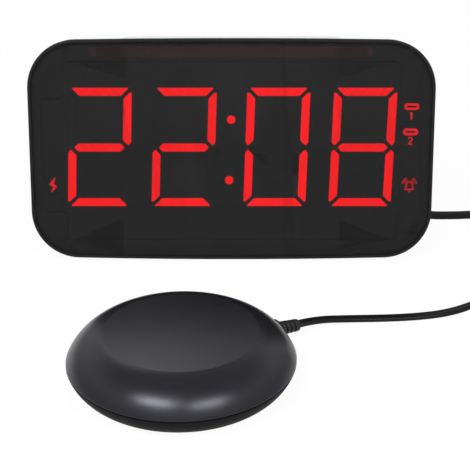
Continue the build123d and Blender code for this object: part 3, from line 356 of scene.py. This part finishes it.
def smoked_lens():
    """Dark acrylic that stops one part of each ray, its cover, and lets the rest through."""
    material, tree, shader = new_finish("smoked_lens")
    colour = two_colours(tree, object_noise(tree, 40.0), lens_dark, lens_light)
    tree.links.new(colour, shader.inputs["Base Color"])
    drift = between(tree, object_noise(tree, 90.0), 0.3, 0.36)
    tree.links.new(drift, shader.inputs["Roughness"])
    shader.inputs["Specular IOR Level"].default_value = lens_shine
    shader.inputs["Alpha"].default_value = lens_cover


def glowing(name, colour, strength):
    """A diffuser plate lit from behind: light of one colour, a little uneven as LEDs leave
    it, from strength (1 - unevenness) to strength (1 + unevenness)."""
    material, tree, shader = new_finish(name)
    shader.inputs["Base Color"].default_value = plate_red
    shader.inputs["Roughness"].default_value = plate_gloss
    shader.inputs["Specular IOR Level"].default_value = lens_shine
    shader.inputs["Emission Color"].default_value = (*colour, 1)
    low, high = strength * (1 - unevenness), strength * (1 + unevenness)
    even = between(tree, object_noise(tree, 120.0), low, high)
    tree.links.new(even, shader.inputs["Emission Strength"])


smoked_lens()
glowing("segment_glow", (1.0, 0.009, 0.0115), 1.25)
glowing("sign_glow", (1.0, 0.014, 0.024), 0.88)
moulded("unlit_red", (0.0184, 0.0178, 0.018), (0.019, 0.0184, 0.0186), display_gloss, fine_grain,
        matt_shine)
moulded("strip_red", (0.042, 0.018, 0.0182), (0.045, 0.0188, 0.019), (0.5, 0.6), fine_grain,
        matt_shine)

# %% [markdown]
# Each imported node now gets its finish. The small parts inside get theirs too, since the part
# may be opened or seen through its grille. In the picture the digits redden neither the puck
# nor the ground, so mirrored rays and scattered light pass their plates by.

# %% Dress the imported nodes
dressed = {
    "casing_black": ["rear_shell", "battery_door"],
    "bezel_black": ["front_bezel"],
    "smoked_lens": ["display_lens"],
    "display_black": ["display_frame"],
    "segment_glow": ["lit_segments"],
    "unlit_red": ["unlit_segments", "sign_diffusers"],
    "strip_red": ["light_strip"],
    "led_resin": ["display_leds"],
    "board_green": ["display_board", "main_board", "snooze_board"],
    "rubber_black": ["rubber_feet", "shaker_foot_ring", "strain_relief", "shaker_cord_front",
                     "shaker_cord_coil", "shaker_cord_rear"],
    "button_black": ["time_button", "alarm_1_button", "alarm_2_button", "minus_button",
                     "plus_button", "dimmer_knob", "alarm_mode_knob", "volume_knob"],
    "snooze_grey": ["snooze_bar"],
    "part_black": ["tact_switches", "snooze_switches", "dc_jack", "shaker_jack",
                   "battery_holder", "speaker", "shaker_plug"],
    "tongue_white": ["usb_tongues"],
    "zinc_steel": ["case_screws", "board_screws", "shaker_screws", "slide_switches",
                   "dimmer_potentiometer", "backup_cell", "motor_case", "motor_clamp",
                   "motor_shaft"],
    "port_nickel": ["usb_port_1", "usb_port_2", "plug_tip"],
    "brass_plain": ["dc_jack_pin", "battery_contact", "eccentric_weight"],
    "lead_red": ["motor_leads"],
    "puck_skin": ["shaker_top_shell"],
    "puck_under_painted_shade": ["shaker_bottom_shell"],
}

for finish, names in dressed.items():
    for name in names:
        nodes[name].data.materials.clear()
        nodes[name].data.materials.append(finishes[finish])
nodes["lit_segments"].visible_glossy = False
nodes["lit_segments"].visible_diffuse = False
left = sorted(set(nodes) - {name for names in dressed.values() for name in names})
print("nodes without a finish:", left)

# %% [markdown]
# ## The cord
# A flat twin cord runs from the puck's strain relief along the table, is wound up beside the
# clock, comes back behind it and ends in a plug. Its line is one smooth NURBS curve through
# the model's own route. The put-away length is a coil of half turns whose radius steps by
# half a pitch, in and out again, layer by layer.

# %% The cord's sizes and its two open stretches
half_width = 1.95
half_thick = 0.975
relief_start = 33.0
relief_high = 9.5
relief_length = 18.9

relief_way = np.array([
    math.cos(relief_turn) * math.cos(relief_dip),
    math.sin(relief_turn) * math.cos(relief_dip),
    -math.sin(relief_dip),
])
relief_root = np.array([
    puck_middle[0] + relief_start * math.cos(relief_turn),
    puck_middle[1] + relief_start * math.sin(relief_turn),
    relief_high,
])
cord_exit = relief_root + relief_length * relief_way
front_line = np.array([
    cord_exit,
    cord_exit + 9.0 * relief_way + (0, 0.7, 0.5),
    (45.5, -9.3, 1.7),
    (58.5, -7.7, 1.0),
    (71.5, -6.5, 1.0),
    (83.5, -3.8, 1.05),
    (94.5, 2.1, 1.25),
    (106.0, 11.7, 1.7),
    (118.5, 28.2, 2.0),
    (130.0, 46.75, 2.0),
    (145.4, 46.75, 2.0),
])
rear_line = np.array([
    (118.0, 87.85, 2.6),
    (102.5, 87.25, 2.0),
    (87.0, 87.55, 2.0),
    (74.0, 87.75, 10.0),
    (65.0, 87.75, 10.0),
])

# %% The coil
coil_start = np.array([148.0, 46.75, 2.0])
coil_radius = 22.0
coil_pitch = 3.2
coil_rise = 4.0
turn_points = 8
inward = [0, 1, 2, 3, 4, 5]
steps_in = inward + [6] + inward[::-1] + [-1] + inward + [6] + inward[::-1]
climbs = [6, 13, 20]


def coil_line():
    """Half turn k has its own middle and radius: a point is middle + radius (sin a, -cos a) for
    an angle a from 0 to 180 degrees, to the right on even half turns and to the left on odd
    ones. The last half turn of a layer also rises to the next one."""
    angles = (np.arange(turn_points) + 0.5) * math.pi / turn_points
    reach = 1 / math.cos(math.pi / turn_points / 2)
    start = coil_start
    side = 1.0
    made = []
    for number, step in enumerate(steps_in):
        radius = coil_radius - step * coil_pitch / 2
        rise = coil_rise if number in climbs else 0.0
        x = start[0] + side * reach * radius * np.sin(angles)
        y = start[1] + side * radius * (1 - reach * np.cos(angles))
        z = start[2] + rise * angles / math.pi
        made.append(np.stack([x, y, z], axis=-1))
        start = start + np.array([0, 2 * side * radius, rise])
        side = -side
    return np.concatenate(made), start


coil_points, coil_end = coil_line()
leads = np.array([coil_end + (-2.6, 0, 0), coil_end + (-14.0, 0, -1.0)])
route = np.concatenate([front_line, coil_points, leads, rear_line])
print("route:", len(route), "points, coil ends at", np.round(coil_end, 1))

# %% Follow the route with a smooth curve
def smooth_line(points, steps):
    """Points along the NURBS spline of order 3 that has these control points, in millimetres."""
    data = bpy.data.curves.new("line", "CURVE")
    data.dimensions = "3D"
    spline = data.splines.new("NURBS")
    spline.points.add(len(points) - 1)
    weighted = np.column_stack([points * MM, np.ones(len(points))])
    spline.points.foreach_set("co", weighted.ravel())
    spline.order_u = 3
    spline.use_endpoint_u = True
    spline.resolution_u = steps
    holder = bpy.data.objects.new("line", data)
    bpy.context.scene.collection.objects.link(holder)
    bpy.context.view_layer.update()
    mesh = bpy.data.meshes.new_from_object(holder)
    found = np.empty(len(mesh.vertices) * 3)
    mesh.vertices.foreach_get("co", found)
    bpy.data.objects.remove(holder)
    bpy.data.curves.remove(data)
    bpy.data.meshes.remove(mesh)
    return found.reshape(-1, 3) / MM


centre = smooth_line(route, 6)
run = np.concatenate([[0], np.cumsum(np.linalg.norm(np.diff(centre, axis=0), axis=1))])
print("cord:", len(centre), "rings,", round(run[-1], 1), "mm")

# %% [markdown]
# The flat cord needs a direction for its width at each ring. Near the puck it lies flat, and
# in the coil and behind the clock it stands on edge. Between the two it turns by 90 degrees
# over a hand's breadth.

# %% Sweep the twin cord's section
section_sides = 24
web_share = 0.62
twist_run = [70.0, 140.0]
twist_angles = [0.0, math.pi / 2]
vinyl_dark = (0.0035, 0.0035, 0.0038)
vinyl_light = (0.0055, 0.0055, 0.0058)
vinyl_shine = 0.16


def twin_section(count):
    """Outline of two round cores side by side: at a distance x across, the half thickness is
    that of the nearer circle, and never less than the web's between them."""
    turn = np.arange(count) * 2 * math.pi / count
    x = half_width * np.cos(turn)
    lobe = np.sqrt(np.clip(half_thick ** 2 - (np.abs(x) - half_thick) ** 2, 0, None))
    web = np.where(np.abs(x) < half_thick, web_share * half_thick, 0)
    return x, np.sign(np.round(np.sin(turn), 6)) * np.maximum(lobe, web)


def ring_axes(line, twist):
    """For each point of a line: the level direction across it and the one square to both,
    turned about the line by the twist."""
    along = np.gradient(line, axis=0)
    along /= np.linalg.norm(along, axis=1, keepdims=True)
    across = np.cross(along, (0, 0, 1))
    across /= np.linalg.norm(across, axis=1, keepdims=True)
    up = np.cross(across, along)
    c, s = np.cos(twist)[:, None], np.sin(twist)[:, None]
    return c * across + s * up, c * up - s * across


def cord_vinyl():
    """Soft black vinyl: the moulded recipe with quicker clouds."""
    material, tree, shader = new_finish("cord_vinyl")
    colour = two_colours(tree, object_noise(tree, 90.0), vinyl_dark, vinyl_light)
    tree.links.new(colour, shader.inputs["Base Color"])
    drift = between(tree, object_noise(tree, 200.0), 0.34, 0.44)
    tree.links.new(drift, shader.inputs["Roughness"])
    shader.inputs["Specular IOR Level"].default_value = vinyl_shine
    grain_bump(tree, shader, cord_grain)
    return material


wide, thick = ring_axes(centre, np.interp(run, twist_run, twist_angles))
x, y = twin_section(section_sides)
cord_points = (
    centre[:, None, :]
    + x[None, :, None] * wide[:, None, :]
    + y[None, :, None] * thick[:, None, :]
)
cord_faces = tube_faces(len(centre), section_sides)
twin_cord = add_piece("twin_cord", cord_points, cord_faces, cord_vinyl())
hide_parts("shaker_cord_front", "shaker_cord_coil", "shaker_cord_rear")

# %% [markdown]
# ## The strain relief
# A moulded sleeve guards the cord where it leaves the puck. It is a tapered tube with a round
# collar in the puck's rim and ribs between soft grooves, so that it bends evenly. The profile
# is one array of radii along the sleeve, carried round an axis that starts a little lower than
# the plain solid's and nearly meets the cord's at the tip.

# %% The sleeve's profile
sleeve_hidden = 1.3
collar_end = 9.1
collar_radius = 4.0
collar_round = 0.7
sleeve_root = 2.8
sleeve_tip = 2.4
groove_middles = (9.9, 12.2, 14.3, 16.3)
groove_width = 1.25
groove_depth = 0.95
tip_round = 0.6


def sleeve_radius(s):
    """The collar, then a taper from root to tip, less a groove of depth g at each rib's foot:
    g (0.5 + 0.5 cos(2 pi distance / width)) within half a width of the groove's middle. The
    collar's outer edge and the tip are rounded off like a quarter of a circle."""
    body = np.interp(s, [collar_end, relief_length], [sleeve_root, sleeve_tip])
    for middle in groove_middles:
        near = np.clip(np.abs(s - middle) / groove_width, 0, 0.5)
        body = body - groove_depth * (0.5 + 0.5 * np.cos(2 * math.pi * near))
    past = np.clip(s - (collar_end - collar_round), 0, collar_round)
    collar = collar_radius - collar_round + np.sqrt(collar_round ** 2 - past ** 2)
    body = np.where(s < collar_end, collar, body)
    left = np.clip((relief_length - s) / tip_round, 0, 1)
    return body - tip_round * (1 - np.sqrt(1 - (1 - left) ** 2))


# %% Carry the profile round the sleeve's axis
flat_share = 0.95
root_drop = 1.3
tip_drop = 0.25
hair = 0.001
sleeve_sides = 40

s = np.concatenate([
    np.linspace(sleeve_hidden, collar_end - collar_round, 4),
    np.linspace(collar_end - collar_round, collar_end - hair, 8)[1:],
    np.linspace(collar_end + hair, relief_length - tip_round, 90),
    np.linspace(relief_length - tip_round, relief_length, 10)[1:],
])
turn = np.arange(sleeve_sides) * 2 * math.pi / sleeve_sides
sleeve_start = relief_root - (0, 0, root_drop)
sleeve_way = cord_exit - (0, 0, tip_drop) - sleeve_start
sleeve_way /= np.linalg.norm(sleeve_way)
side_way = np.cross(sleeve_way, (0, 0, 1))
side_way /= np.linalg.norm(side_way)
top_way = np.cross(side_way, sleeve_way)
ring = (
    np.cos(turn)[None, :, None] * side_way
    + flat_share * np.sin(turn)[None, :, None] * top_way
)
axis_points = sleeve_start + s[:, None, None] * sleeve_way
sleeve_points = axis_points + sleeve_radius(s)[:, None, None] * ring
sleeve_faces = tube_faces(len(s), sleeve_sides)
sleeve_black = moulded("sleeve_black", (0.009, 0.009, 0.0092), (0.013, 0.013, 0.0132),
                       (0.42, 0.5), sleeve_grain, 0.25)
sleeve = add_piece("ribbed_sleeve", sleeve_points, sleeve_faces, sleeve_black)
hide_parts("strain_relief")

# %% [markdown]
# ## The small signs
# Thin lit plates lie behind the lens beside the digits: a lightning flash for charging, a
# pill with a slot and a numeral for each charging port, and a bell with sound arcs. A line of
# even width is a ribbon: its two sides lie half a width from the middle line.

# %% Ribbons and plates on the face
sign_front = 1.75
sign_back = 1.98
sign_points, sign_faces_made = [], []


def add_sign(left, right, closed, place):
    """A thin plate between two lines of points about a place on the face. Point k of one side
    is joined to point k of the other, in front and behind, and the rim is closed all round."""
    left, right = np.asarray(left, dtype=float), np.asarray(right, dtype=float)
    count = len(left)
    first = sum(len(p) for p in sign_points)
    for side in (left, right):
        for depth in (sign_front, sign_back):
            sign_points.append(on_face(place[0] + side[:, 0], place[1] + side[:, 1], depth))
    k = np.arange(count if closed else count - 1)
    n = (k + 1) % count
    a, b, c, d = first, first + count, first + 2 * count, first + 3 * count
    for p, q in ((a, c), (d, b), (b, a), (c, d)):
        sign_faces_made.extend(np.stack([p + k, p + n, q + n, q + k], axis=-1).tolist())
    if not closed:
        e = count - 1
        sign_faces_made.append([a, c, d, b])
        sign_faces_made.append([a + e, b + e, d + e, c + e])


def add_stroke(line, width, closed, place):
    """A ribbon of even width: middle line + and - half a width along its mean normal."""
    line = np.asarray(line, dtype=float)
    if closed:
        along = np.roll(line, -1, axis=0) - np.roll(line, 1, axis=0)
    else:
        along = np.gradient(line, axis=0)
    along /= np.linalg.norm(along, axis=1, keepdims=True)
    normal = np.stack([-along[:, 1], along[:, 0]], axis=-1)
    add_sign(line + normal * width / 2, line - normal * width / 2, closed, place)


def arc(radius, start, end, count=10, middle=(0, 0)):
    """Points on a circle from one angle to another, in degrees."""
    angle = np.radians(np.linspace(start, end, count))
    return np.stack([middle[0] + radius * np.cos(angle), middle[1] + radius * np.sin(angle)],
                    axis=-1)


def pill(length, height, count=14):
    """A closed outline: two half circles of the pill's own height, joined by straight sides."""
    shift = (length - height) / 2
    right = arc(height / 2, -90, 90, count, (shift, 0))
    return np.concatenate([right, arc(height / 2, 90, 270, count, (-shift, 0))])


# %% The charging flash and the two ports' signs
flash_place = (-74.8, 31.7)
pill_places = ((74.6, 64.5), (74.4, 54.0))
one_place = (74.5, 60.7)
two_place = (74.35, 50.2)
pill_size = (6.3, 2.85)
slot_size = (4.2, 0.75)

flash_left = [(0.75, 3.15), (-1.66, 0.46), (-1.3, -0.25), (-0.04, -0.53), (-1.0, -3.1)]
flash_right = [(0.95, 3.1), (0.29, 0.46), (0.6, 0.15), (1.67, -0.7), (-0.7, -3.1)]
add_sign(flash_left, flash_right, False, flash_place)
for place in pill_places:
    add_sign(pill(*pill_size), pill(*slot_size), True, place)
add_stroke([(-0.55, 0.75), (-0.2, 0.95), (0.1, 1.45)], 0.45, False, one_place)
add_stroke([(0.1, 1.5), (0.1, -1.5)], 0.62, False, one_place)
two_top = arc(0.78, 160, -35, 10, (0, 0.72))
two = np.concatenate([two_top, [(-0.25, -0.6), (-0.85, -1.3), (0.9, -1.3)]])
add_stroke(two, 0.5, False, two_place)

# %% The bell
bell_place = (74.6, 31.6)
bell_stroke = 0.42
clapper_stroke = 0.4
sound_stroke = 0.32
sound_radii = (2.15, 3.15)

bell_half = np.array([(0.0, 1.45), (0.75, 1.2), (1.15, 0.4), (1.3, -0.7), (2.0, -1.75)])
bell_line = np.concatenate([bell_half, (bell_half * (-1, 1))[:0:-1]])
add_stroke(bell_line, bell_stroke, True, bell_place)
add_stroke(arc(0.62, 200, 340, 8, (0, -2.15)), clapper_stroke, False, bell_place)
for radius in sound_radii:
    add_stroke(arc(radius, 12, 70), sound_stroke, False, bell_place)
    add_stroke(arc(radius, 110, 168), sound_stroke, False, bell_place)
add_piece("lit_signs", np.concatenate(sign_points), sign_faces_made, finishes["sign_glow"],
          smooth=False)

# %% [markdown]
# ## Floor, world and lamps
# The picture has a plain white ground. The floor is a matt sheet whose own colour the camera
# sees as white, mixed with a share of its real shading, so that the soft shadow stays.

# %% The rays that see the white ground
def seen_rays(tree):
    """1 for rays from the camera, from mirrors and through glass, and 0 for the light itself."""
    path = tree.nodes.new("ShaderNodeLightPath")
    found = path.outputs["Is Camera Ray"]
    for name in ("Is Glossy Ray", "Is Transmission Ray"):
        either = tree.nodes.new("ShaderNodeMath")
        either.operation = "MAXIMUM"
        tree.links.new(found, either.inputs[0])
        tree.links.new(path.outputs[name], either.inputs[1])
        found = either.outputs["Value"]
    return found


# %% The floor
floor_colour = (0.95, 0.95, 0.95, 1)
floor_gloss = 0.9
floor_glow = 0.95
floor_half = 3.0


def floor_sheet():
    """A matt square whose seen colour is glow times white plus the rest of its shading."""
    material, tree, shader = new_finish("floor_white")
    shader.inputs["Base Color"].default_value = floor_colour
    shader.inputs["Roughness"].default_value = floor_gloss
    shader.inputs["Specular IOR Level"].default_value = 0.0
    glow = tree.nodes.new("ShaderNodeEmission")
    glow.inputs["Strength"].default_value = 1.0
    share = tree.nodes.new("ShaderNodeMath")
    share.operation = "MULTIPLY"
    share.inputs[1].default_value = floor_glow
    mix = tree.nodes.new("ShaderNodeMixShader")
    out = tree.nodes["Material Output"]
    tree.links.new(seen_rays(tree), share.inputs[0])
    tree.links.new(share.outputs["Value"], mix.inputs["Fac"])
    tree.links.new(shader.outputs["BSDF"], mix.inputs[1])
    tree.links.new(glow.outputs["Emission"], mix.inputs[2])
    tree.links.new(mix.outputs["Shader"], out.inputs["Surface"])
    mesh = bpy.data.meshes.new("floor")
    corners = [(floor_half * x, floor_half * y, 0) for x, y in ((-1, -1), (1, -1), (1, 1), (-1, 1))]
    mesh.from_pydata(corners, [], [(0, 1, 2, 3)])
    mesh.materials.append(material)
    sheet = bpy.data.objects.new("floor", mesh)
    bpy.context.scene.collection.objects.link(sheet)


floor_sheet()

# %% [markdown]
# The world is a white studio with a grey ceiling, a little dimmer toward the floor. The rays
# that are seen or mirrored find its walls brighter than the rays that carry the light do.

# %% The world
wall_light = 0.6
ceiling_light = 0.25
seen_wall = 1.0
seen_ceiling = 0.45
ceiling_edge = (0.5, 0.85)
low_light = 0.4
low_edge = (0.0, 0.55)


def studio_world():
    """Strength by the height z of a ray's direction: a wall that falls smoothly to the
    ceiling's grey, times a rise from the low light at z = 0 to 1."""
    world = bpy.data.worlds.new("studio")
    bpy.context.scene.world = world
    world.use_nodes = True
    tree = world.node_tree
    back = tree.nodes["Background"]
    place = tree.nodes.new("ShaderNodeTexCoord")
    parts = tree.nodes.new("ShaderNodeSeparateXYZ")
    pick = tree.nodes.new("ShaderNodeMix")
    both = tree.nodes.new("ShaderNodeMath")
    both.operation = "MULTIPLY"
    tree.links.new(place.outputs["Generated"], parts.inputs["Vector"])
    tree.links.new(seen_rays(tree), pick.inputs["Factor"])
    height = parts.outputs["Z"]
    for socket, ends in (("A", (wall_light, ceiling_light)), ("B", (seen_wall, seen_ceiling))):
        fall = spread_range(tree, height, ceiling_edge, ends, "SMOOTHSTEP")
        tree.links.new(fall, pick.inputs[socket])
    rise = spread_range(tree, height, low_edge, (low_light, 1.0), "SMOOTHSTEP")
    tree.links.new(pick.outputs["Result"], both.inputs[0])
    tree.links.new(rise, both.inputs[1])
    tree.links.new(both.outputs["Value"], back.inputs["Strength"])
    back.inputs["Color"].default_value = (1, 1, 1, 1)


studio_world()

# %% [markdown]
# Two soft boxes stand high in front, to the left and to the right, and draw the two
# highlights on the puck's shoulder. A weak one behind the clock lightens the puck's top.

# %% The lamps
def soft_box(name, place, aim, width, height, watts):
    """An area lamp at a place, turned toward the point that it lights."""
    data = bpy.data.lights.new(name, "AREA")
    data.shape = "RECTANGLE"
    data.size = width
    data.size_y = height
    data.energy = watts
    lamp = bpy.data.objects.new(name, data)
    way = np.array(aim) - np.array(place)
    lamp.location = place
    lamp.rotation_euler = (
        math.acos(-way[2] / np.linalg.norm(way)),
        0,
        math.atan2(way[1], way[0]) - math.pi / 2,
    )
    bpy.context.scene.collection.objects.link(lamp)


lit_point = (0.0, -0.02, 0.02)
for name, place, width, height, watts in (
    ("left_box", (-0.44, -0.82, 0.97), 0.6, 0.26, 12.0),
    ("right_box", (0.5, -0.88, 0.9), 0.6, 0.26, 8.0),
    ("back_box", (-0.3, 1.1, 1.15), 0.5, 0.4, 1.5),
):
    soft_box(name, place, lit_point, width, height, watts)
bpy.context.scene.view_settings.view_transform = "Standard"
